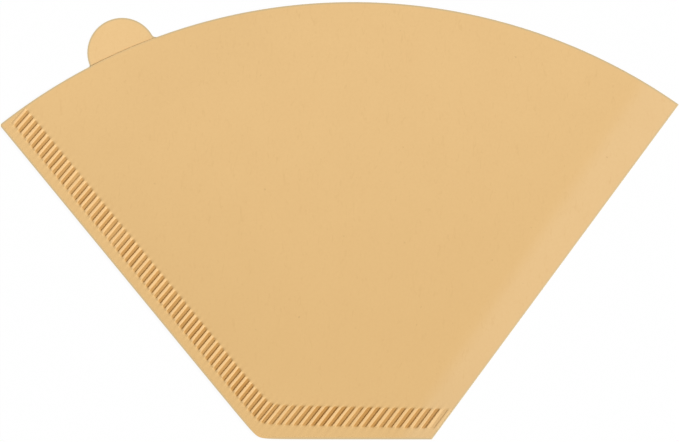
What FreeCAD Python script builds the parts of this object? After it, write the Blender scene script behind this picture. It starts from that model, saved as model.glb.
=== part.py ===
import FreeCAD, Part
import math
import os
import Sketcher

# Flat-folded paper cone filter, lying on its back ply, in millimetres.
# One sheet is folded once along the right-hand edge, crimped together along
# the left-hand side and along the base, and left open at the curved mouth.
# Sketch frame: the corner between the side seam and the base is at the origin,
# X runs along the base towards the fold and Z points up from the table.

doc = FreeCAD.newDocument("paper_filter")

close = 0.001  # for finding edges

driving_sizes = [
    ("base_length", 45.1, "base edge, from the side seam to the fold"),
    ("side_length", 105.3, "side seam edge, from the base to the mouth"),
    ("side_angle", 129.4, "side seam edge, degrees from the base"),
    ("fold_length", 107.7, "folded edge, from the base to the mouth"),
    ("fold_angle", 53.6, "folded edge, degrees from the base"),
    ("mouth_radius", 147.5, "arc of the open mouth"),
    ("corner_radius", 5.9, "rounding between side seam and base"),
    ("tip_radius", 0.7, "rounding between side seam and mouth"),
    ("paper_thickness", 0.2, "one ply"),
    ("tab_radius", 9.0, "round pull tab on the back ply"),
    ("tab_offset", 36.6, "tab centre from the mouth end of the side seam"),
    ("tab_root_radius", 1.2, "rounding where the tab meets the mouth"),
    ("mouth_gap", 0.9, "clear gap between the plies inside the pouch"),
    ("shoulder", 15.0, "width over which the front ply rises from a seam"),
    ("fold_shoulder", 9.0, "width over which the front ply rises from the fold"),
    ("back_shoulder", 2.0, "width over which the back ply drops to the table"),
    ("fold_round", 0.18, "outer rounding of the folded edge"),
    ("side_seam", 9.2, "bonded width along the side"),
    ("base_seam", 10.1, "bonded width along the base"),
    ("side_margin", 2.65, "plain margin outside the side crimps"),
    ("base_margin", 3.6, "plain margin outside the base crimps, at the corner"),
    ("crimp_length", 5.5, "width of the crimped band"),
    ("base_tilt", 1.2, "degrees by which the base crimps run off the base"),
    ("side_pitch", 1.73, "from one groove to the next, along the side seam"),
    ("base_pitch", 2.2, "from one groove to the next, along the base"),
    ("crimp_groove", 0.97, "width of a groove"),
    ("crimp_rim", 0.7, "width of the ridge outside the first and last grooves"),
    ("crimp_rise", 0.2, "height of a crimp above and below the margin"),
    ("crimp_wall", 0.15, "sheet left between a groove and the hollow ridge"),
    ("mouth_margin", 1.2, "crimps start this far from the mouth"),
    ("fold_margin", 0.2, "crimps stop at least this far from the fold"),
    ("mouth_crimp_angle", 48.5, "degrees, grooves at the mouth"),
    ("corner_crimp_angle", 50.7, "degrees, grooves at the corner"),
    ("fold_crimp_angle", 53.6, "degrees, grooves at the fold"),
]

sheet = doc.addObject("Spreadsheet::Sheet", "sizes")
size = {}
for row, (alias, number, meaning) in enumerate(driving_sizes, start=1):
    sheet.set(f"A{row}", meaning)
    sheet.set(f"B{row}", str(number))
    sheet.setAlias(f"B{row}", alias)
doc.recompute()
for alias, number, meaning in driving_sizes:
    size[alias] = float(sheet.get(alias))


# A length or height is written as a tuple of aliases, which are added up
def total(terms):
    return sum(size[alias] for alias in terms)


def formula(terms):
    return " + ".join(f"sizes.{alias}" for alias in terms)


# Heights above the table
floor_height = ()
margin_underside = ("crimp_rise",)
margin_middle = ("crimp_rise", "paper_thickness")
margin_top = ("crimp_rise", "paper_thickness", "paper_thickness")
ridge_underside = ("crimp_rise", "crimp_rise")
ridge_top = ("crimp_rise", "crimp_rise", "paper_thickness", "paper_thickness")
pouch_floor = ("paper_thickness",)
pouch_ceiling = ("paper_thickness", "mouth_gap")
pouch_top = ("paper_thickness", "mouth_gap", "paper_thickness")
beyond_mouth = ("side_length", "fold_length")

body = doc.addObject("PartDesign::Body", "coffee_filter")
body.Label = "coffee_filter"
table_plane = [plane for plane in body.Origin.OriginFeatures if plane.Role == "XY_Plane"][0]


def new_sketch(name, height):
    sketch = body.newObject("Sketcher::SketchObject", name)
    sketch.AttachmentSupport = [(table_plane, "")]
    sketch.MapMode = "FlatFace"
    if height:
        sketch.setExpression("AttachmentOffset.Base.z", formula(height))
    return sketch


def bind(sketch, kind, references, number, expression):
    index = sketch.addConstraint(Sketcher.Constraint(kind, *references, number))
    sketch.setExpression(f"Constraints[{index}]", expression)


def bind_length(sketch, kind, references, terms):
    bind(sketch, kind, references, total(terms), formula(terms))


def bind_angle(sketch, line, alias):
    bind(sketch, "Angle", (line,), math.radians(size[alias]), f"sizes.{alias} * 1 deg")


def add_polygon(sketch, corners):
    following = corners[1:] + corners[:1]
    sketch.addGeometry([Part.LineSegment(start, end) for start, end in zip(corners, following)], False)


def along(angle):
    return FreeCAD.Vector(math.cos(math.radians(angle)), math.sin(math.radians(angle)), 0)


origin = FreeCAD.Vector(0, 0, 0)
fold_foot = FreeCAD.Vector(size["base_length"], 0, 0)
side_direction = along(size["side_angle"])
fold_direction = along(size["fold_angle"])
side_inward = along(size["side_angle"] - 90)
fold_inward = along(size["fold_angle"] + 90)
side_top = origin + side_direction * size["side_length"]
fold_top = fold_foot + fold_direction * size["fold_length"]


# Four-sided outlines, parallel to the two seams and the fold, that run past the mouth
def corner_at(foot, direction, inward, inset, height):
    start = foot + inward * inset
    return start + direction * ((height - start.y) / direction.y)


def band_sketch(name, height, from_side, from_base, from_fold):
    sketch = new_sketch(name, height)
    low, high = total(from_base), total(beyond_mouth)
    near_side = corner_at(origin, side_direction, side_inward, total(from_side), low)
    far_side = corner_at(origin, side_direction, side_inward, total(from_side), high)
    near_fold = corner_at(fold_foot, fold_direction, fold_inward, total(from_fold), low)
    far_fold = corner_at(fold_foot, fold_direction, fold_inward, total(from_fold), high)
    base, fold, far, side = sketch.addGeometry([
        Part.LineSegment(near_side, near_fold),
        Part.LineSegment(near_fold, far_fold),
        Part.LineSegment(far_fold, far_side),
        Part.LineSegment(near_side, far_side),
    ], False)
    foot = sketch.addGeometry(Part.Point(fold_foot), True)
    sketch.addConstraint([
        Sketcher.Constraint("Coincident", base, 2, fold, 1),
        Sketcher.Constraint("Coincident", fold, 2, far, 1),
        Sketcher.Constraint("Coincident", far, 2, side, 2),
        Sketcher.Constraint("Coincident", side, 1, base, 1),
        Sketcher.Constraint("Horizontal", base),
        Sketcher.Constraint("Horizontal", far),
        Sketcher.Constraint("PointOnObject", foot, 1, -1),
    ])
    bind_length(sketch, "DistanceX", (-1, 1, foot, 1), ("base_length",))
    bind_length(sketch, "DistanceY", (-1, 1, far, 1), beyond_mouth)
    bind_angle(sketch, side, "side_angle")
    bind_angle(sketch, fold, "fold_angle")
    for kind, references, on_line, inset in (
        ("DistanceY", (-1, 1, base, 1), (base, 1, -1), from_base),
        ("Distance", (-1, 1, side), (-1, 1, side), from_side),
        ("Distance", (foot, 1, fold), (foot, 1, fold), from_fold),
    ):
        if inset:
            bind_length(sketch, kind, references, inset)
        else:
            sketch.addConstraint(Sketcher.Constraint("PointOnObject", *on_line))
    return sketch


def loft(kind, name, lower, upper):
    feature = body.newObject(f"PartDesign::{kind}", name)
    feature.Profile = lower
    feature.Sections = [upper]
    feature.Ruled = True
    return feature


# Both plies, bonded, over the whole sheet
bonded = band_sketch("bonded_outline", margin_underside, (), (), ())
bonded_plies = body.newObject("PartDesign::Pad", "bonded_plies")
bonded_plies.Profile = bonded
bonded_plies.setExpression("Length", "2 * sizes.paper_thickness")

doc.recompute()


# The sheet turns round along the folded edge
def on_fold(edge):
    ends = [vertex.Point for vertex in edge.Vertexes]
    distances = [abs((point - fold_foot).dot(fold_inward)) for point in ends]
    level = abs(ends[0].z - ends[-1].z)
    return max(distances) < close and level < close and edge.Length > size["fold_length"]


def edges_where(shape, test):
    return [f"Edge{number}" for number, edge in enumerate(shape.Edges, start=1) if test(edge)]


turned_edge = body.newObject("PartDesign::Fillet", "turned_edge")
turned_edge.Base = (bonded_plies, edges_where(bonded_plies.Shape, on_fold))
turned_edge.setExpression("Radius", "min(sizes.fold_round; 0.95 * sizes.paper_thickness)")

# The front ply swells above the seams, and the back ply drops to the table
inside_seams = (("side_seam",), ("base_seam",), ("fold_round",))
inside_shoulders = (("side_seam", "shoulder"), ("base_seam", "shoulder"), ("fold_shoulder",))
inside_back = (("side_seam", "back_shoulder"), ("base_seam", "back_shoulder"), ("back_shoulder",))
swell_foot = band_sketch("swell_foot", margin_top, *inside_seams)
swell_top = band_sketch("swell_top", pouch_top, *inside_shoulders)
loft("AdditiveLoft", "front_swell", swell_foot, swell_top)
back_top = band_sketch("back_top", margin_underside, *inside_seams)
back_foot = band_sketch("back_foot", floor_height, *inside_back)
loft("AdditiveLoft", "back_drop", back_top, back_foot)

# The pouch between the plies: a wedge up to the shoulders and a shallow one down
inside_pouch = (("side_seam",), ("base_seam",), ("paper_thickness",))
inside_pouch_back = (*inside_back[:2], ("back_shoulder", "paper_thickness"))
pouch_edge = band_sketch("pouch_edge", margin_middle, *inside_pouch)
pouch_roof = band_sketch("pouch_roof", pouch_ceiling, *inside_shoulders)
loft("SubtractiveLoft", "pouch_above", pouch_edge, pouch_roof)
pouch_rim = band_sketch("pouch_rim", margin_middle, *inside_pouch)
pouch_bed = band_sketch("pouch_bed", pouch_floor, *inside_pouch_back)
loft("SubtractiveLoft", "pouch_below", pouch_rim, pouch_bed)


# The cut outline of the sheet: side seam, base, fold and the arc of the mouth
chord = side_top - fold_top
mouth_drop = math.sqrt(size["mouth_radius"] ** 2 - (chord.Length / 2) ** 2)
chord_down = FreeCAD.Vector(-chord.y, chord.x, 0).normalize()
mouth_centre = (side_top + fold_top) / 2 + chord_down * mouth_drop


def add_cut_outline(sketch, construction):
    mouth_circle = Part.Circle(mouth_centre, FreeCAD.Vector(0, 0, 1), size["mouth_radius"])
    fold_bearing = math.atan2(fold_top.y - mouth_centre.y, fold_top.x - mouth_centre.x)
    side_bearing = math.atan2(side_top.y - mouth_centre.y, side_top.x - mouth_centre.x)
    base, side, fold, mouth = sketch.addGeometry([
        Part.LineSegment(origin, fold_foot),
        Part.LineSegment(origin, side_top),
        Part.LineSegment(fold_foot, fold_top),
        Part.ArcOfCircle(mouth_circle, fold_bearing, side_bearing),
    ], construction)
    sketch.addConstraint([
        Sketcher.Constraint("Coincident", base, 1, -1, 1),
        Sketcher.Constraint("Coincident", side, 1, base, 1),
        Sketcher.Constraint("Coincident", fold, 1, base, 2),
        Sketcher.Constraint("Coincident", mouth, 1, fold, 2),
        Sketcher.Constraint("Coincident", mouth, 2, side, 2),
        Sketcher.Constraint("Horizontal", base),
    ])
    bind_length(sketch, "Distance", (base,), ("base_length",))
    bind_length(sketch, "Distance", (side,), ("side_length",))
    bind_length(sketch, "Distance", (fold,), ("fold_length",))
    bind_length(sketch, "Radius", (mouth,), ("mouth_radius",))
    bind_angle(sketch, side, "side_angle")
    bind_angle(sketch, fold, "fold_angle")
    return side, mouth


waste = new_sketch("waste_outline", floor_height)
add_cut_outline(waste, False)
reach = 2 * total(beyond_mouth)
corner_signs = ((-1, -1), (1, -1), (1, 1), (-1, 1))
add_polygon(waste, [FreeCAD.Vector(x * reach, y * reach, 0) for x, y in corner_signs])
waste_cut = body.newObject("PartDesign::Pocket", "waste_cut")
waste_cut.Profile = waste
waste_cut.Type = "ThroughAll"
waste_cut.Reversed = True

# Pull tab, part of the back ply: a disc centred on the line of the mouth
chord_turn = 2 * math.asin(size["tab_offset"] / (2 * size["mouth_radius"]))
side_arm = side_top - mouth_centre
tab_bearing = math.atan2(side_arm.y, side_arm.x) - chord_turn
tab_centre = mouth_centre + along(math.degrees(tab_bearing)) * size["mouth_radius"]
tab_outline = new_sketch("tab_outline", floor_height)
side_line, mouth_arc = add_cut_outline(tab_outline, True)
disc = tab_outline.addGeometry(Part.Circle(tab_centre, FreeCAD.Vector(0, 0, 1), size["tab_radius"]), False)
tab_outline.addConstraint(Sketcher.Constraint("PointOnObject", disc, 3, mouth_arc))
bind_length(tab_outline, "Distance", (disc, 3, side_line, 2), ("tab_offset",))
bind_length(tab_outline, "Radius", (disc,), ("tab_radius",))
tab = body.newObject("PartDesign::Pad", "tab")
tab.Profile = tab_outline
tab.setExpression("Length", "sizes.paper_thickness")
doc.recompute()


# Rounded corners of the cut outline
def upright_edges(shape, place, distance):
    def stands_there(edge):
        ends = [vertex.Point for vertex in edge.Vertexes]
        gaps = [math.hypot(end.x - place.x, end.y - place.y) - distance for end in ends]
        lean = math.hypot(ends[0].x - ends[-1].x, ends[0].y - ends[-1].y)
        return len(ends) == 2 and lean < close and abs(gaps[0]) < close
    return edges_where(shape, stands_there)


for name, place, distance, radius in (
    ("base_corner", origin, 0, "corner_radius"),
    ("mouth_tip", side_top, 0, "tip_radius"),
    ("tab_roots", tab_centre, size["tab_radius"], "tab_root_radius"),
):
    sharp = body.Tip
    rounding = body.newObject("PartDesign::Fillet", name)
    rounding.Base = (sharp, upright_edges(sharp.Shape, place, distance))
    rounding.setExpression("Radius", f"sizes.{radius}")
    doc.recompute()

# Crimps: grooves across both seams that turn slowly from the mouth to the fold
def line_distance(point, foot, inward):
    return (point - foot).dot(inward)


base_inward = along(90 - size["base_tilt"])
base_margin_foot = FreeCAD.Vector(0, size["base_margin"], 0)
side_margin_foot = side_inward * size["side_margin"]
base_middle_foot = base_margin_foot + base_inward * (size["crimp_length"] / 2)
side_middle_foot = side_margin_foot + side_inward * (size["crimp_length"] / 2)


def corner_on_both(inset):
    # Where the side line and the base line meet, both moved inwards by the inset
    side_foot = side_margin_foot + side_inward * inset
    base_foot = base_margin_foot + base_inward * inset
    drop = line_distance(side_foot, base_foot, base_inward) / side_direction.dot(base_inward)
    return side_foot - side_direction * drop


def crimp_ends(point, direction, inset):
    outer, inner = [], []
    for foot, inward in ((side_margin_foot, side_inward), (base_margin_foot, base_inward)):
        slope = direction.dot(inward)
        reach = -line_distance(point, foot, inward)
        outer.append((reach + inset) / slope)
        inner.append((reach + size["crimp_length"] - inset) / slope)
    return point + direction * max(outer), point + direction * max(inner)


def crimp_outline(point, angle, width, inset):
    direction, across = along(angle), along(angle - 90)
    first, second = crimp_ends(point - across * (width / 2), direction, inset)
    fourth, third = crimp_ends(point + across * (width / 2), direction, inset)
    return [first, second, third, fourth]


def crossing(angle, line_angle):
    return math.sin(math.radians(line_angle - angle))


# The middle line of the band runs down the side seam and then along the base
base_direction = along(-size["base_tilt"])
run_down = (side_middle_foot - base_middle_foot).dot(base_inward) / -side_direction.dot(base_inward)
turning_point = side_middle_foot + side_direction * run_down
side_run = size["side_length"] - run_down
base_run = line_distance(turning_point, fold_foot, fold_inward) / -base_direction.dot(fold_inward)
groove_reach = size["crimp_groove"] / 2 + size["crimp_rim"]
side_turn = size["corner_crimp_angle"] - size["mouth_crimp_angle"]
base_turn = size["fold_crimp_angle"] - size["corner_crimp_angle"]
base_angle = 180 - size["base_tilt"]


def crimp_places():
    places = []
    travelled = size["mouth_margin"] + groove_reach
    angle = size["mouth_crimp_angle"]
    while travelled < side_run:
        angle = size["mouth_crimp_angle"] + side_turn * travelled / side_run
        places.append((turning_point + side_direction * (side_run - travelled), angle))
        travelled += size["side_pitch"]
    travelled = (travelled - side_run) * crossing(angle, size["side_angle"]) / crossing(angle, base_angle)
    to_fold = (base_run - travelled) * crossing(size["fold_angle"], base_angle)
    while to_fold > size["fold_margin"] + groove_reach:
        angle = size["corner_crimp_angle"] + base_turn * travelled / base_run
        places.append((turning_point + base_direction * travelled, angle))
        travelled += size["base_pitch"]
        to_fold = (base_run - travelled) * crossing(size["fold_angle"], base_angle)
    return places


places = crimp_places()
print("grooves", len(places))

# The crimped band stands proud by one rise and is hollow beneath by as much
first_place, first_angle = places[0]
last_place, last_angle = places[-1]
band_start = crimp_ends(first_place - along(first_angle - 90) * groove_reach, along(first_angle), 0)
band_end = crimp_ends(last_place + along(last_angle - 90) * groove_reach, along(last_angle), 0)
outer_corner = corner_on_both(0)
inner_corner = corner_on_both(size["crimp_length"])
band_outline = [band_start[0], outer_corner, band_end[0], band_end[1], inner_corner, band_start[1]]
back_width = size["crimp_groove"] + 2 * size["crimp_wall"]
groove_outlines = []
back_outlines = []
for point, angle in places:
    groove_outlines.append(crimp_outline(point, angle, size["crimp_groove"], size["crimp_wall"]))
    back_outlines.append(crimp_outline(point, angle, back_width, -size["crimp_wall"]))

for name, kind, height, outlines, depth, upside_down in (
    ("band_rise", "Pad", margin_top, [band_outline], "sizes.crimp_rise", False),
    ("band_hollow", "Pocket", margin_underside, [band_outline], "sizes.crimp_rise", True),
    ("groove_backs", "Pad", ridge_underside, back_outlines, "2 * sizes.crimp_rise", True),
    ("grooves", "Pocket", ridge_top, groove_outlines, "2 * sizes.crimp_rise", False),
):
    outline = new_sketch(name + "_outline", height)
    for corners in outlines:
        add_polygon(outline, corners)
    crimp = body.newObject(f"PartDesign::{kind}", name)
    crimp.Profile = outline
    crimp.setExpression("Length", depth)
    crimp.Reversed = upside_down

doc.recompute()

# The body stands on the table with the middle of its outline at the origin
outline_box = body.Shape.optimalBoundingBox(False)
body.Placement = FreeCAD.Placement(
    FreeCAD.Vector(-outline_box.Center.x, -outline_box.Center.y, -outline_box.ZMin),
    FreeCAD.Rotation(),
)
doc.recompute()

for item in doc.Objects:
    if "Invalid" in item.State or "Error" in item.State:
        raise RuntimeError(f"{item.Label} failed")
shape = body.Shape
if shape.isNull() or not shape.isValid() or len(shape.Solids) != 1:
    raise RuntimeError("coffee_filter is not one valid solid")

box = shape.optimalBoundingBox(False)
print("size", round(box.XLength, 2), round(box.YLength, 2), round(box.ZLength, 2))
print("centre", round(box.Center.x, 4), round(box.Center.y, 4), "lowest", round(box.ZMin, 4))
print("volume", round(shape.Volume, 1), "area", round(shape.Area, 1), "faces", len(shape.Faces))
os.makedirs("parts", exist_ok=True)
shape.exportStep(os.path.join("parts", "coffee_filter.step"))
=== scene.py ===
import math

import bmesh
import bpy
from mathutils import Matrix, Vector, noise


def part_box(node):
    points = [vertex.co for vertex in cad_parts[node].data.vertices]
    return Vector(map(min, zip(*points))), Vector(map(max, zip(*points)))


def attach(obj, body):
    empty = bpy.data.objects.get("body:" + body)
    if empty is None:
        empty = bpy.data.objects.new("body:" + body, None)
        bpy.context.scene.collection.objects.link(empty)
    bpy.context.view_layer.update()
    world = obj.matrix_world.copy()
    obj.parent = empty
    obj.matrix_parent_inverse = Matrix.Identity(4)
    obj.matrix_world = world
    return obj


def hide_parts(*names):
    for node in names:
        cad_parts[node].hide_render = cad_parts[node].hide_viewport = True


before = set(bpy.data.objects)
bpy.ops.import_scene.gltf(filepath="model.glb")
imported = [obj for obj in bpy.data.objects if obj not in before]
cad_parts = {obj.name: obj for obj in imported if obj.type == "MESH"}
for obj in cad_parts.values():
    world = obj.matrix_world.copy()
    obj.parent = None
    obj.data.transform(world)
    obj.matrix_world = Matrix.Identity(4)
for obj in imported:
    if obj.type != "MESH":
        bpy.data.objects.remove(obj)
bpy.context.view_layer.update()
node = "coffee_filter"
nodeLow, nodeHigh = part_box(node)
mm = 0.001
up = Vector((0, 0, 1))
print("frame loaded")


# Small helpers. Lengths are in millimetres and angles in degrees, on the table plane
def bearing(degrees):
    return Vector((math.cos(math.radians(degrees)), math.sin(math.radians(degrees)), 0))


def angleOf(way):
    return math.degrees(math.atan2(way.y, way.x))


# The same angle, written between half a turn back and half a turn on
def halfTurns(degrees):
    return (degrees + 180) % 360 - 180


def easeIn(value, start, end):
    share = min(max((value - start) / (end - start), 0), 1)
    return share * share * (3 - 2 * share)


def softMax(first, second, softness):
    return (first + second + math.hypot(first - second, softness)) / 2


def mixed(first, second, share):
    return first + (second - first) * share


def spotNoise(x, y, z):
    return noise.noise(Vector((x, y, z)))


# Folded sheet, with the corner of side seam and base at zero
sheet = {
    "baseLength": 45.1,
    "sideLength": 105.3,
    "sideAngle": 129.4,
    "foldLength": 107.7,
    "foldAngle": 53.6,
    "mouthRadius": 147.5,
    "cornerSoftness": 1.5,      # rounds the corner between side and base
    "tipRadius": 0.7,
    "tipSteps": 6,
    "paper": 0.2,
    "plyGap": 0.02,             # hairline between the bonded plies
    "foldSteps": 6,
    "foldTrim": 0.56,           # inset of the column where the fold's dark line has ended
    "seamLow": 0.2,             # underside of the plain margin
    "pouchHigh": 1.27,          # top of the front ply over the pouch
    "tabRadius": 9.0,
    "tabOffset": 36.9,          # from the mouth end of the side seam
    "tabSink": 0.35,            # its centre lies a little inside the mouth's arc
    "tabSpread": 110,           # the cut round it, each way from its middle
    "tabSteps": 36,
    "tabRoots": (1.2, 0.5),     # rounding to the right and to the left of the tab
    "rootSteps": 6,
    "mouthSteps": 96,
    "trimRings": (0.24, 0.56),  # fine rings for the dark line along the cut edge
}

crimps = {
    "sideMargin": 2.65,
    "baseMargin": 3.6,
    "length": 5.5,
    "baseTilt": 1.2,
    "sidePitch": 1.73,
    "basePitch": 2.2,
    "mouthMargin": 1.2,
    "rim": 0.7,
    "rimFade": (0.25, 0.1),     # before and after the rim's edge
    "foldMargin": 0.2,
    "width": 0.97,
    "widthVary": 0.12,
    "wall": 0.22,               # a groove's side, from floor to ridge
    "depth": 0.19,              # above and below the margin
    "endCurve": 0.22,           # rounds a groove's ends
    "endFade": 0.45,
    "tail": 1.5,                # past its ends a groove dies away in the plain paper
    "tailShare": 0.14,
    "mouthAngle": 48.5,
    "cornerAngle": 50.7,
    "foldAngle": 53.6,
    "strength": 0.9,
    "strengthVary": 0.2,
    "turnShift": 0.3,           # the base's grooves start a little nearer the turn
    "turnStrength": 0.86,       # the first grooves after the turn are pressed less
    "turnGrooves": 4,
    "lastStrength": 0.45,       # and the last one, beside the fold
    "spareLines": 2,            # lines without a groove, at the tip
    "cuts": 11,                 # extra columns between two grooves
}

zero = Vector((0, 0, 0))
foldFoot = Vector((sheet["baseLength"], 0, 0))
sideWay = bearing(sheet["sideAngle"])
foldWay = bearing(sheet["foldAngle"])
sideIn = bearing(sheet["sideAngle"] - 90)
foldIn = bearing(sheet["foldAngle"] + 90)
sideTop = sideWay * sheet["sideLength"]
foldTop = foldFoot + foldWay * sheet["foldLength"]
chord = sideTop - foldTop
mouthDrop = math.sqrt(sheet["mouthRadius"] ** 2 - (chord.length / 2) ** 2)
mouthCentre = (sideTop + foldTop) / 2 + Vector((-chord.y, chord.x, 0)).normalized() * mouthDrop
mouthSpan = (angleOf(foldTop - mouthCentre) - 2, angleOf(sideTop - mouthCentre) + 4)
noseRadius = sheet["paper"] + sheet["plyGap"] / 2
tabTurn = math.degrees(2 * math.asin(sheet["tabOffset"] / (2 * sheet["mouthRadius"])))
tabBearing = angleOf(sideTop - mouthCentre) - tabTurn
tabReach = sheet["mouthRadius"] - sheet["tabSink"]
tabCentre = mouthCentre + bearing(tabBearing) * tabReach
placeOnTable = Vector((nodeHigh.x / mm - foldTop.x, nodeLow.y / mm, 0))


def insetFromFold(place):
    return (place - foldFoot).dot(foldIn)


# Grooves run along straight lines that turn slowly from the mouth to the fold
def crossing(angle, lineAngle):
    return math.sin(math.radians(lineAngle - angle))


def grooveLines():
    tiltIn = bearing(90 - crimps["baseTilt"])
    baseWay = bearing(-crimps["baseTilt"])
    baseAngle = 180 - crimps["baseTilt"]
    half = crimps["length"] / 2
    sideMiddle = sideIn * (crimps["sideMargin"] + half)
    baseMiddle = Vector((0, crimps["baseMargin"], 0)) + tiltIn * half
    runDown = (sideMiddle - baseMiddle).dot(tiltIn) / -sideWay.dot(tiltIn)
    turn = sideMiddle + sideWay * runDown
    sideRun = sheet["sideLength"] - runDown
    baseRun = insetFromFold(turn) / -baseWay.dot(foldIn)
    reach = crimps["width"] / 2 + crimps["rim"]
    travelled = crimps["mouthMargin"] + reach - crimps["spareLines"] * crimps["sidePitch"]
    lines = []
    while travelled < sideRun:
        angle = mixed(crimps["mouthAngle"], crimps["cornerAngle"], travelled / sideRun)
        lines.append((turn + sideWay * (sideRun - travelled), angle))
        travelled += crimps["sidePitch"]
    turnLine = len(lines)
    travelled = (travelled - sideRun) * crossing(angle, sheet["sideAngle"]) / crossing(angle, baseAngle)
    travelled -= crimps["turnShift"]
    toFold = (baseRun - travelled) * crossing(sheet["foldAngle"], baseAngle)
    while toFold > crimps["foldMargin"] + reach:
        angle = mixed(crimps["cornerAngle"], crimps["foldAngle"], travelled / baseRun)
        lines.append((turn + baseWay * travelled, angle))
        travelled += crimps["basePitch"]
        toFold = (baseRun - travelled) * crossing(sheet["foldAngle"], baseAngle)
    for inset in (sheet["foldTrim"], noseRadius):
        beside = turn + baseWay * (baseRun - inset / crossing(sheet["foldAngle"], baseAngle))
        lines.append((beside, sheet["foldAngle"]))
    return lines, turnLine


lines, turnLine = grooveLines()
firstGroove = crimps["spareLines"]
lastGroove = len(lines) - 3

# Rows of the grid, by their inset from side and base: close together at the ends of the crimps
seamRows = (0, 0.24, 0.56, 1.1, 2.3, 2.55, 2.8, 3.05, 3.4, 4.6, 6.2, 7.4, 7.75, 8.0, 8.25, 8.5, 9.4)
nearRows = (*seamRows, 10.8, 12.6, 15.0)
farRows = 24
farInset = 100          # stands for the insets of the far rows, which have no crimps
tabAllowance = 34       # the grid goes on so far past the mouth, to hold the tab


# How far along a line its inset from the side and the base is reached
def lineReach(start, way, inset):
    bend = easeIn(inset, 0, crimps["sideMargin"])
    slope = math.tan(math.radians(crimps["baseTilt"])) * bend
    baseInset = inset + (crimps["baseMargin"] - crimps["sideMargin"]) * bend
    fromSide = (inset - start.dot(sideIn)) / way.dot(sideIn)
    fromBase = (baseInset - start.y - start.x * slope) / (way.y + way.x * slope)
    return softMax(fromSide, fromBase, sheet["cornerSoftness"])


def mouthReach(start, way):
    arm = start - mouthCentre
    along = arm.dot(way)
    return -along + math.sqrt(max(along ** 2 - arm.length_squared + sheet["mouthRadius"] ** 2, 0))


# Place and inset of a corner of the grid, given by its column and row
def flatPlace(column, row):
    left = min(int(column), len(lines) - 2)
    (startA, angleA), (startB, angleB) = lines[left], lines[left + 1]
    share = column - left
    start, way = startA.lerp(startB, share), bearing(mixed(angleA, angleB, share))
    if row <= len(nearRows) - 1:
        low = min(int(row), len(nearRows) - 2)
        inset = mixed(nearRows[low], nearRows[low + 1], row - low)
        return start + way * lineReach(start, way, inset), inset
    last = lineReach(start, way, nearRows[-1])
    end = max(mouthReach(start, way), last) + tabAllowance
    share = (row - len(nearRows) + 1) / farRows
    return start + way * mixed(last, end, share), nearRows[-1] + share * farInset


# Height of the crimp wave at a place: -1 in a groove, 1 on a ridge, 0 on the plain paper.
# The second value weights the painted shade in the groove: 0 on its floor, 0.6 at its left wall and 1 at
# its right wall, which faces away from the key light
def crimpWave(column, place, inset):
    nearest = min(max(round(column), firstGroove), lastGroove)
    start, angle = lines[nearest]
    across = (place - start).dot(bearing(angle - 90))
    offset = abs(across)
    half = crimps["width"] / 2 * (1 + crimps["widthVary"] * spotNoise(nearest * 1.7, inset * 0.25, 3.1))
    wave = 2 * easeIn(offset, half - crimps["wall"] / 2, half + crimps["wall"] / 2) - 1
    outside = crimps["width"] / 2 + crimps["rim"]
    before, after = crimps["rimFade"]
    wave *= 1 - easeIn(offset, outside - before, outside + after)
    curve = crimps["endCurve"] * min(offset / half, 1) ** 2
    lowEnd = crimps["sideMargin"] + curve
    highEnd = crimps["sideMargin"] + crimps["length"] - curve
    fade = crimps["endFade"]
    within = easeIn(inset, lowEnd - fade / 3, lowEnd + fade * 2 / 3)
    within *= 1 - easeIn(inset, highEnd - fade * 2 / 3, highEnd + fade / 3)
    tail = easeIn(inset, lowEnd - crimps["tail"], lowEnd)
    tail *= 1 - easeIn(inset, highEnd, highEnd + crimps["tail"])
    wave *= max(within, tail * crimps["tailShare"])
    strength = crimps["strength"] + crimps["strengthVary"] * spotNoise(nearest * 0.83, 9.2, inset * 0.1)
    if nearest == lastGroove:
        strength *= crimps["lastStrength"]
    elif turnLine < nearest <= turnLine + crimps["turnGrooves"]:
        strength *= crimps["turnStrength"]
    # Weight of the painted shade across a groove: the right wall, turned away from the key light, gets
    # the most
    side = easeIn(offset, half * 0.4, half * 0.85) * (1 if across > 0 else 0.6)
    return wave * min(strength, 1), side


# One quad between two lines and two rows, and finer columns across the crimps
def flatGrid():
    bm = bmesh.new()
    columns = len(lines) - 1
    rows = len(nearRows) - 1 + farRows
    halves = Matrix.Diagonal((columns / 2, rows / 2, 1, 1))
    spot = Matrix.Translation((columns / 2, rows / 2, 0)) @ halves
    bmesh.ops.create_grid(bm, x_segments=columns, y_segments=rows, size=1, matrix=spot)
    acrossGrooves = []
    for edge in bm.edges:
        one, two = edge.verts
        if abs(one.co.y - two.co.y) < 0.1 and one.co.y < len(seamRows) - 0.5:
            acrossGrooves.append(edge)
    bmesh.ops.subdivide_edges(bm, edges=acrossGrooves, cuts=crimps["cuts"], use_grid_fill=True)
    crimp = bm.verts.layers.float.new("crimp")
    wall = bm.verts.layers.float.new("wall")
    for vert in bm.verts:
        column = vert.co.x
        vert.co, inset = flatPlace(column, vert.co.y)
        vert[crimp], vert[wall] = crimpWave(column, vert.co, inset)
    return bm


# A chord's cut goes through the faces that lie so near to it
cutNear = {"mouth": 9, "tab": 12, "tip": 4}


# Die cutting: a cut along each chord of an arc, only through the faces that a test lets through
def scoreArc(bm, centre, radius, start, end, steps, near, wanted):
    step = (end - start) / steps
    for turn in range(steps):
        way = bearing(start + (turn + 0.5) * step)
        spot = centre + way * radius * math.cos(math.radians(step / 2))
        faces = []
        for face in bm.faces:
            middle = face.calc_center_median()
            if (middle - spot).length < near and wanted(middle):
                faces.append(face)
        edges = {edge for face in faces for edge in face.edges}
        verts = {vert for face in faces for vert in face.verts}
        bmesh.ops.bisect_plane(bm, geom=[*verts, *edges, *faces], dist=0.002, plane_co=spot, plane_no=way)


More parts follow.
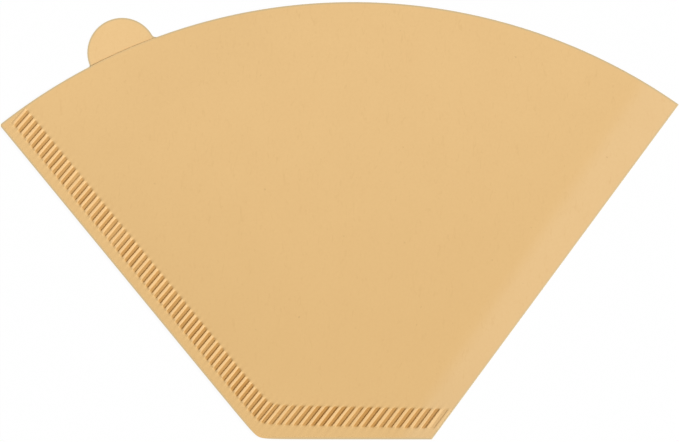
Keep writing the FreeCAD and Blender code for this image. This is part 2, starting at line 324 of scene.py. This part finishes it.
# Inside the mouth's chords, as they are cut
def insideMouth(place):
    start, end = mouthSpan
    step = (end - start) / sheet["mouthSteps"]
    turn = halfTurns(angleOf(place - mouthCentre) - start)
    slot = min(max(math.floor(turn / step), 0), sheet["mouthSteps"] - 1)
    way = bearing(start + (slot + 0.5) * step)
    return (place - mouthCentre).dot(way) < sheet["mouthRadius"] * math.cos(math.radians(step / 2))


def insideTab(place):
    return (place - tabCentre).length < sheet["tabRadius"]


def anywhere(place):
    return True


def beyondMouth(place):
    return not insideMouth(place)


def beyondBoth(place):
    return not insideMouth(place) and not insideTab(place)


# The round at one end of the tab touches the mouth and the tab from outside
def tabRoot(radius, side):
    far = sheet["mouthRadius"] + radius
    near = sheet["tabRadius"] + radius
    opening = math.acos((far ** 2 + tabReach ** 2 - near ** 2) / (2 * far * tabReach))
    centre = mouthCentre + bearing(tabBearing + side * math.degrees(opening)) * far
    toMouth = angleOf(mouthCentre - centre)
    return centre, radius, toMouth, halfTurns(angleOf(tabCentre - centre) - toMouth)


tabRoots = [tabRoot(radius, side) for radius, side in zip(sheet["tabRoots"], (-1, 1))]


def inTabRoot(place):
    for centre, radius, toMouth, turn in tabRoots:
        arm = place - centre
        share = halfTurns(angleOf(arm) - toMouth) / turn
        if 0 <= share <= 1 and radius * 0.99 < arm.length < radius * 2.5:
            return True
    return False


# The round of the tip touches the side seam and the mouth from inside
def tipRound():
    foot = sideIn * sheet["tipRadius"]
    arm = foot - mouthCentre
    along = arm.dot(sideWay)
    reach = (sheet["mouthRadius"] - sheet["tipRadius"]) ** 2
    return foot + sideWay * (-along + math.sqrt(along ** 2 - arm.length_squared + reach))


tip = tipRound()
tipSpan = (angleOf(tip - mouthCentre), sheet["sideAngle"] + 90)


def besideTip(place):
    start, end = tipSpan
    return start < angleOf(place - tip) % 360 < end and (place - tip).length < 3


# Mouth, tab, tab roots and tip are cut in turn. What lies outside goes, and the tab's faces come back
def cutOutline(bm):
    for inset in (0, *sheet["trimRings"]):
        radius = sheet["mouthRadius"] - inset
        scoreArc(bm, mouthCentre, radius, *mouthSpan, sheet["mouthSteps"], cutNear["mouth"], anywhere)
    tabSpan = (tabBearing - sheet["tabSpread"], tabBearing + sheet["tabSpread"])
    for inset in (0, *sheet["trimRings"]):
        radius = sheet["tabRadius"] - inset
        scoreArc(bm, tabCentre, radius, *tabSpan, sheet["tabSteps"], cutNear["tab"], beyondMouth)
    for centre, radius, toMouth, turn in tabRoots:
        near = 3 * radius + 3
        scoreArc(bm, centre, radius, toMouth, toMouth + turn, sheet["rootSteps"], near, beyondBoth)
    scoreArc(bm, tip, sheet["tipRadius"], *tipSpan, sheet["tipSteps"], cutNear["tip"], besideTip)
    waste = []
    tabFaces = []
    for face in bm.faces:
        middle = face.calc_center_median()
        if besideTip(middle) and (middle - tip).length > sheet["tipRadius"] * 0.999:
            waste.append(face)
        elif beyondMouth(middle) and (insideTab(middle) or inTabRoot(middle)):
            tabFaces.append(face)
        elif beyondMouth(middle):
            waste.append(face)
    bmesh.ops.delete(bm, geom=waste, context="FACES")
    return set(tabFaces)


# The sheet goes round the fold: the back ply, a half turn along the fold line, the front ply
def foldedSheet():
    bm = flatGrid()
    tabFaces = cutOutline(bm)
    bmesh.ops.translate(bm, vec=-up * noseRadius, verts=bm.verts)
    foldEdges = []
    for edge in bm.edges:
        furthest = max(abs(insetFromFold(vert.co) - noseRadius) for vert in edge.verts)
        if edge.is_boundary and furthest < 0.01:
            foldEdges.append(edge)
    foldVerts = {vert for edge in foldEdges for vert in edge.verts}
    copy = bmesh.ops.duplicate(bm, geom=[face for face in bm.faces if face not in tabFaces])["geom"]
    frontVerts = [item for item in copy if isinstance(item, bmesh.types.BMVert)]
    frontFaces = [item for item in copy if isinstance(item, bmesh.types.BMFace)]
    bmesh.ops.translate(bm, vec=up * 2 * noseRadius, verts=frontVerts)
    bmesh.ops.reverse_faces(bm, faces=frontFaces)
    onFold = foldFoot + foldIn * noseRadius
    bmesh.ops.spin(bm, geom=[*foldVerts, *foldEdges], cent=onFold, axis=foldWay, angle=-math.pi,
                   steps=sheet["foldSteps"], use_merge=False)
    bmesh.ops.remove_doubles(bm, verts=bm.verts, dist=0.002)
    everything = [*bm.verts, *bm.edges, *bm.faces]
    bmesh.ops.bisect_plane(bm, geom=everything, dist=0.0005, plane_co=zero, plane_no=(0, -1, 0),
                           clear_outer=True)
    loose = [vert for vert in bm.verts if not vert.link_faces]
    bmesh.ops.delete(bm, geom=loose, context="VERTS")
    bmesh.ops.recalc_face_normals(bm, faces=bm.faces)
    top = max(bm.faces, key=lambda face: face.calc_center_median().z)
    if top.normal.z < 0:
        bmesh.ops.reverse_faces(bm, faces=bm.faces)
    bmesh.ops.solidify(bm, geom=bm.faces, thickness=sheet["paper"])
    return bm


# Heights over the table. The pouch opens between the seams, and its back ply lies down on the table
pouch = {
    "sideSeam": 9.2,
    "baseSeam": 10.1,
    "shoulder": (-1, 30),       # front ply's rise from the seams, very gentle
    "backShoulder": (0, 3),
    "foldBand": (6.5, 10.9),    # flat slope beside the fold, at the base and at the mouth
    "crease": 1.6,
    "waves": 0.05,
    "mouthSink": 0.15,
    "mouthPress": 0.62,         # the mouth's edge lies lower beside the tab
    "mouthDepth": 25,           # and rises again so far in from the mouth
    "tabNear": (10, 50),        # and over these distances from the tab's centre
}


def foldBand(place):
    return mixed(*pouch["foldBand"], (place - foldFoot).dot(foldWay) / sheet["foldLength"])


def betweenSeams(place, shoulder):
    fromSide = place.dot(sideIn) - pouch["sideSeam"]
    fromBase = place.y - pouch["baseSeam"]
    return easeIn(fromSide, *shoulder) * easeIn(fromBase, *shoulder)


def pouchRise(place):
    band = foldBand(place)
    slope = -softMax(-insetFromFold(place) / band, -1, pouch["crease"] / band)
    return betweenSeams(place, pouch["shoulder"]) ** 0.5 * max(slope, 0)


# How far the front ply lifts from where it lies when it is bonded
def frontLift(place):
    rise = pouchRise(place)
    room = sheet["pouchHigh"] - sheet["seamLow"] - 2 * noseRadius
    toMouth = sheet["mouthRadius"] - (place - mouthCentre).length
    nearTab = 1 - easeIn((place - tabCentre).length, *pouch["tabNear"])
    nearTab *= 1 - easeIn(toMouth, 0, pouch["mouthDepth"])
    wave = spotNoise(place.x * 0.031, place.y * 0.036, 4.2)
    wave += 0.5 * spotNoise(place.x * 0.075, place.y * 0.07, 7.7)
    lowered = pouch["mouthPress"] * nearTab + pouch["waves"] * (0.5 + wave)
    return rise * (max(room - lowered, 0) - pouch["mouthSink"] * nearTab)


def lieOnTable(bm):
    crimp = bm.verts.layers.float["crimp"]
    front = bm.verts.layers.float.new("front")
    for vert in bm.verts:
        place = Vector((vert.co.x, vert.co.y, 0))
        vert[front] = 1 if vert.co.z > 0.004 else 0
        height = vert.co.z + noseRadius + vert[crimp] * crimps["depth"] + sheet["seamLow"]
        if vert[front]:
            height += frontLift(place)
        else:
            down = betweenSeams(place, pouch["backShoulder"])
            down *= easeIn(insetFromFold(place) - noseRadius, *pouch["backShoulder"])
            height -= sheet["seamLow"] * down
        vert.co.z = max(height, 0.0)


# How strongly a place is tinted, kept as values on the mesh for the material: painted shade and highlight
# on the crimps, painted light towards the mouth and on the single-ply tab, a painted sheen beside the
# fold, and a dark line along the edges
tints = {
    "lowerSpan": (-90, 45),     # from the upper left to the lower right
    "floorDark": 0.56,          # painted shade: a groove's floor is painted less dark than its walls
    "upperDark": 0.84,          # the grooves' painted shade is weaker at the upper left
    "lowerBright": 0.7,         # and the ridges' painted highlight weaker at the lower right
    "trimSpan": (0.2, 0.55),    # the dark line along the cut edges and the fold ends here
    "tabTrim": 0.35,            # it is faint where the mouth's edge crosses the tab
    "paintedLightSpan": (10, 110),     # painted light: the paper is painted lighter towards the mouth
    "tabPaintedLight": 1.1,
    "paintedSheenSpan": (2.5, 2.0),     # before and after the edge of the painted sheen on the fold's lit slope
}


def shadeMesh(bm):
    layers = bm.verts.layers.float
    for name in ("pressedAndPaintedLight", "trim", "tone", "paintedSheen"):
        layers.new(name)
    names = ("crimp", "wall", "front", "pressedAndPaintedLight", "trim", "tone", "paintedSheen")
    crimp, wall, front, pressedAndPaintedLight, trim, tone, paintedSheen = [layers[name] for name in names]
    for vert in bm.verts:
        place = Vector((vert.co.x, vert.co.y, 0))
        # Painted shade in the grooves and painted highlight on the ridges, kept in one value; the
        # grooves' darkening is partly the pressed paper's own darker colour
        lower = easeIn(place.x - place.y * 0.5, *tints["lowerSpan"])
        dark = mixed(tints["floorDark"], 1.0, vert[wall]) * mixed(tints["upperDark"], 1.0, lower)
        bright = mixed(1.0, tints["lowerBright"], lower)
        vert[pressedAndPaintedLight] = vert[crimp] * (dark if vert[crimp] < 0 else bright)
        fromMouth = (place - mouthCentre).length - sheet["mouthRadius"]
        fromTab = (place - tabCentre).length - sheet["tabRadius"]
        beyond = fromMouth > 0.02
        inDisc = fromTab < 0.03
        rim = abs(fromMouth)
        if inDisc and not vert[front]:
            rim = abs(fromTab) if beyond else sheet["tabRadius"]
        cut = min(rim, place.dot(sideIn), place.y)
        fold = insetFromFold(place)
        vert[trim] = 1 - easeIn(min(cut, fold), *tints["trimSpan"])
        if inDisc and vert[front]:
            vert[trim] *= tints["tabTrim"]
        # Painted light: the paper is painted lighter towards the mouth
        vert[tone] = easeIn(place.y, *tints["paintedLightSpan"])
        # Painted light: the single-ply tab is painted lighter, for the light that shows through it
        if beyond and vert.co.z > sheet["paper"] / 2:
            vert[tone] += tints["tabPaintedLight"]
        # Painted sheen on the slope beside the fold, which faces the key light
        before, after = tints["paintedSheenSpan"]
        vert[paintedSheen] = 1 - easeIn(fold, foldBand(place) - before, foldBand(place) + after)


# Shader maths on sockets, so that a look reads as a sum
class Wire:
    def __init__(self, tree, socket=None):
        self.tree = tree
        self.socket = socket

    def node(self, kind, settings, inputs, out=0):
        made = self.tree.nodes.new("ShaderNode" + kind)
        for name, value in settings.items():
            setattr(made, name, value)
        for name, value in inputs.items():
            if isinstance(value, Wire):
                self.tree.links.new(value.socket, made.inputs[name])
            else:
                made.inputs[name].default_value = value
        return Wire(self.tree, made.outputs[out])

    def maths(self, operation, first, second):
        return self.node("Math", {"operation": operation}, {0: first, 1: second})

    def __add__(self, other):
        return self.maths("ADD", self, other)

    def __radd__(self, other):
        return self.maths("ADD", other, self)

    def __sub__(self, other):
        return self.maths("SUBTRACT", self, other)

    def __rsub__(self, other):
        return self.maths("SUBTRACT", other, self)

    def __mul__(self, other):
        return self.maths("MULTIPLY", self, other)

    def __rmul__(self, other):
        return self.maths("MULTIPLY", other, self)

    def ramp(self, start, end):
        ends = {"Value": self, "From Min": start, "From Max": end}
        return self.node("MapRange", {"interpolation_type": "SMOOTHSTEP"}, ends)

    def tint(self, first, second):
        return self.node("Mix", {"data_type": "RGBA"}, {0: self, 6: first, 7: second}, 2)

    def kept(self, name):
        return self.node("Attribute", {"attribute_name": name}, {}, 2)


def linear(red, green, blue):
    parts = []
    for part in (red, green, blue):
        share = part / 255
        parts.append(share / 12.92 if share < 0.04045 else ((share + 0.055) / 1.055) ** 2.4)
    return (*parts, 1)


paperLook = {
    "pulp": linear(227, 187, 127),
    # Pulp as painted lighter, for painted light towards the mouth and on the tab
    "pulpPaintedLight": linear(238, 199, 141),
    # Painted sheen beside the fold
    "foldPaintedSheen": linear(231, 198, 150),
    # Grooves: the pressed paper's darker colour, with painted shade on top
    "groove": linear(178, 122, 40),
    # Painted highlight on the ridges
    "ridge": linear(246, 203, 144),
    "trim": linear(207, 184, 140),
    "fibre": linear(214, 170, 112),
    "speck": linear(168, 122, 72),
    "cloudScale": 90.0,
    "grainScale": 1400.0,
    "threadScale": (900.0, 260.0, 600.0),
    "speckScale": 240.0,
    "towardsPaintedLight": 0.5,
    "towardsPaintedSheen": 0.4,
    "towardsTrim": 0.9,
    "clouds": 0.06,
    "threads": 0.2,
    "grain": 0.1,
    "specks": 0.35,
    "bump": 0.25,
    "bumpHeight": 0.00006,
    "roughness": 0.88,
    "specular": 0.25,
}


def paperMaterial():
    material = bpy.data.materials.new("unbleachedPaper")
    material.use_nodes = True
    tree = material.node_tree
    shader = tree.nodes["Principled BSDF"]
    look = Wire(tree)
    place = look.node("TexCoord", {}, {}, 3)
    # Painted shade and highlight of the crimps, with the pressed paper's darker colour in the grooves
    crimp = look.kept("pressedAndPaintedLight")
    cloud = look.node("TexNoise", {}, {"Vector": place, "Scale": paperLook["cloudScale"],
                                       "Detail": 4.0, "Roughness": 0.6})
    grain = look.node("TexNoise", {}, {"Vector": place, "Scale": paperLook["grainScale"],
                                       "Detail": 3.0, "Roughness": 0.65})
    drawn = look.node("VectorMath", {"operation": "MULTIPLY"}, {0: place, 1: paperLook["threadScale"]})
    threads = look.node("TexNoise", {}, {"Vector": drawn, "Scale": 1.0, "Detail": 2.0, "Distortion": 1.6})
    spots = look.node("TexVoronoi", {}, {"Vector": place, "Scale": paperLook["speckScale"]})
    specks = spots.ramp(0.1, 0.03) * grain.ramp(0.55, 0.62) * paperLook["specks"]
    # Painted light: lighter towards the mouth and on the tab
    base = (look.kept("tone") * paperLook["towardsPaintedLight"]).tint(paperLook["pulp"], paperLook["pulpPaintedLight"])
    # Painted sheen beside the fold
    base = (look.kept("paintedSheen") * paperLook["towardsPaintedSheen"]).tint(base, paperLook["foldPaintedSheen"])
    base = (cloud.ramp(0.3, 0.7) * paperLook["clouds"]).tint(base, paperLook["fibre"])
    base = (threads.ramp(0.58, 0.75) * paperLook["threads"]).tint(base, paperLook["fibre"])
    base = (grain.ramp(0.35, 0.75) * paperLook["grain"]).tint(base, paperLook["fibre"])
    base = specks.tint(base, paperLook["speck"])
    # Painted highlight on the ridges
    base = crimp.ramp(0.15, 0.9).tint(base, paperLook["ridge"])
    # Grooves: the pressed paper's darker colour and painted shade
    base = (0 - crimp).ramp(0.0, 0.9).tint(base, paperLook["groove"])
    base = (look.kept("trim") * paperLook["towardsTrim"]).tint(base, paperLook["trim"])
    relief = grain * 0.6 + threads * 0.4
    bump = look.node("Bump", {}, {"Height": relief, "Strength": paperLook["bump"],
                                  "Distance": paperLook["bumpHeight"]})
    tree.links.new(base.socket, shader.inputs["Base Color"])
    tree.links.new(bump.socket, shader.inputs["Normal"])
    shader.inputs["Roughness"].default_value = paperLook["roughness"]
    shader.inputs["Specular IOR Level"].default_value = paperLook["specular"]
    return material


def addMesh(name, bm, material):
    mesh = bpy.data.meshes.new(name)
    bm.to_mesh(mesh)
    bm.free()
    mesh.materials.append(material)
    piece = bpy.data.objects.new(name, mesh)
    bpy.context.scene.collection.objects.link(piece)
    return piece


def buildFilter():
    bm = foldedSheet()
    lieOnTable(bm)
    shadeMesh(bm)
    bmesh.ops.translate(bm, vec=placeOnTable, verts=bm.verts)
    bmesh.ops.scale(bm, vec=(mm, mm, mm), verts=bm.verts)
    bmesh.ops.triangulate(bm, faces=[face for face in bm.faces if len(face.verts) > 4])
    for face in bm.faces:
        face.smooth = True
    for edge in bm.edges:
        edge.smooth = edge.calc_face_angle(0) < math.radians(50)
    return addMesh("paperFilter", bm, paperMaterial())


paperFilter = buildFilter()
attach(paperFilter, "root")
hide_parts(node)
print("filter faces", len(paperFilter.data.polygons))


# Studio: a white table, one soft light from the right and an even fill. Lengths here are in metres
studio = {
    "floorHalf": 3.0,
    "floorDrop": 0.00002,
    "floorTone": 0.95,
    "floorWhite": 0.94,         # the rest of the floor's look keeps the filter's shadow
    "distance": 1.2,
    "frameWidth": 0.17586,
    "aim": (-0.00005, -0.00005),
    "keyBearing": 4,
    "keyRise": 38,
    "keySpread": 14,
    "keyPower": 2.75,
    "fill": 0.46,
}


# 1 where the background is seen, straight or in a glossy or clear surface, and 0 for other rays
def seenRays(look):
    paths = look.tree.nodes.new("ShaderNodeLightPath")
    names = ("Is Camera Ray", "Is Glossy Ray", "Is Transmission Ray")
    camera, glossy, through = [Wire(look.tree, paths.outputs[name]) for name in names]
    return look.maths("MINIMUM", camera + glossy + through, 1.0)


def floorMaterial():
    material = bpy.data.materials.new("floor")
    material.use_nodes = True
    tree = material.node_tree
    shader = tree.nodes["Principled BSDF"]
    tone = studio["floorTone"]
    shader.inputs["Base Color"].default_value = (tone, tone, tone, 1)
    look = Wire(tree)
    glow = look.node("Emission", {}, {"Color": (1, 1, 1, 1), "Strength": 1.0})
    share = seenRays(look) * studio["floorWhite"]
    surface = look.node("MixShader", {}, {0: share, 1: Wire(tree, shader.outputs[0]), 2: glow})
    tree.links.new(surface.socket, tree.nodes["Material Output"].inputs["Surface"])
    return material


def makeFloor():
    bm = bmesh.new()
    bmesh.ops.create_grid(bm, x_segments=1, y_segments=1, size=studio["floorHalf"])
    floor = addMesh("floor", bm, floorMaterial())
    floor.location.z = -studio["floorDrop"]


def makeKeyLight():
    lamp = bpy.data.lights.new("key", "SUN")
    lamp.angle = math.radians(studio["keySpread"])
    lamp.energy = studio["keyPower"]
    key = bpy.data.objects.new("key", lamp)
    rise = math.radians(studio["keyRise"])
    key.location = bearing(studio["keyBearing"]) * math.cos(rise) + up * math.sin(rise)
    key.rotation_euler = key.location.to_track_quat("Z", "Y").to_euler()
    bpy.context.scene.collection.objects.link(key)


def makeFill():
    world = bpy.data.worlds.new("studio")
    world.use_nodes = True
    bpy.context.scene.world = world
    tree = world.node_tree
    backdrop = tree.nodes["Background"]
    backdrop.inputs["Color"].default_value = (1, 1, 1, 1)
    strength = seenRays(Wire(tree)) * (1 - studio["fill"]) + studio["fill"]
    tree.links.new(strength.socket, backdrop.inputs["Strength"])


def makeCamera():
    camera = bpy.data.cameras.new("camera")
    camera.sensor_width = 36
    camera.lens = camera.sensor_width * studio["distance"] / studio["frameWidth"]
    camera.clip_start = 0.01
    camera.clip_end = 10
    eye = bpy.data.objects.new("camera", camera)
    eye.location = (*studio["aim"], studio["distance"])
    bpy.context.scene.collection.objects.link(eye)
    bpy.context.scene.camera = eye


makeFloor()
makeKeyLight()
makeFill()
makeCamera()
bpy.context.scene.view_settings.view_transform = "Standard"
print("studio ready")
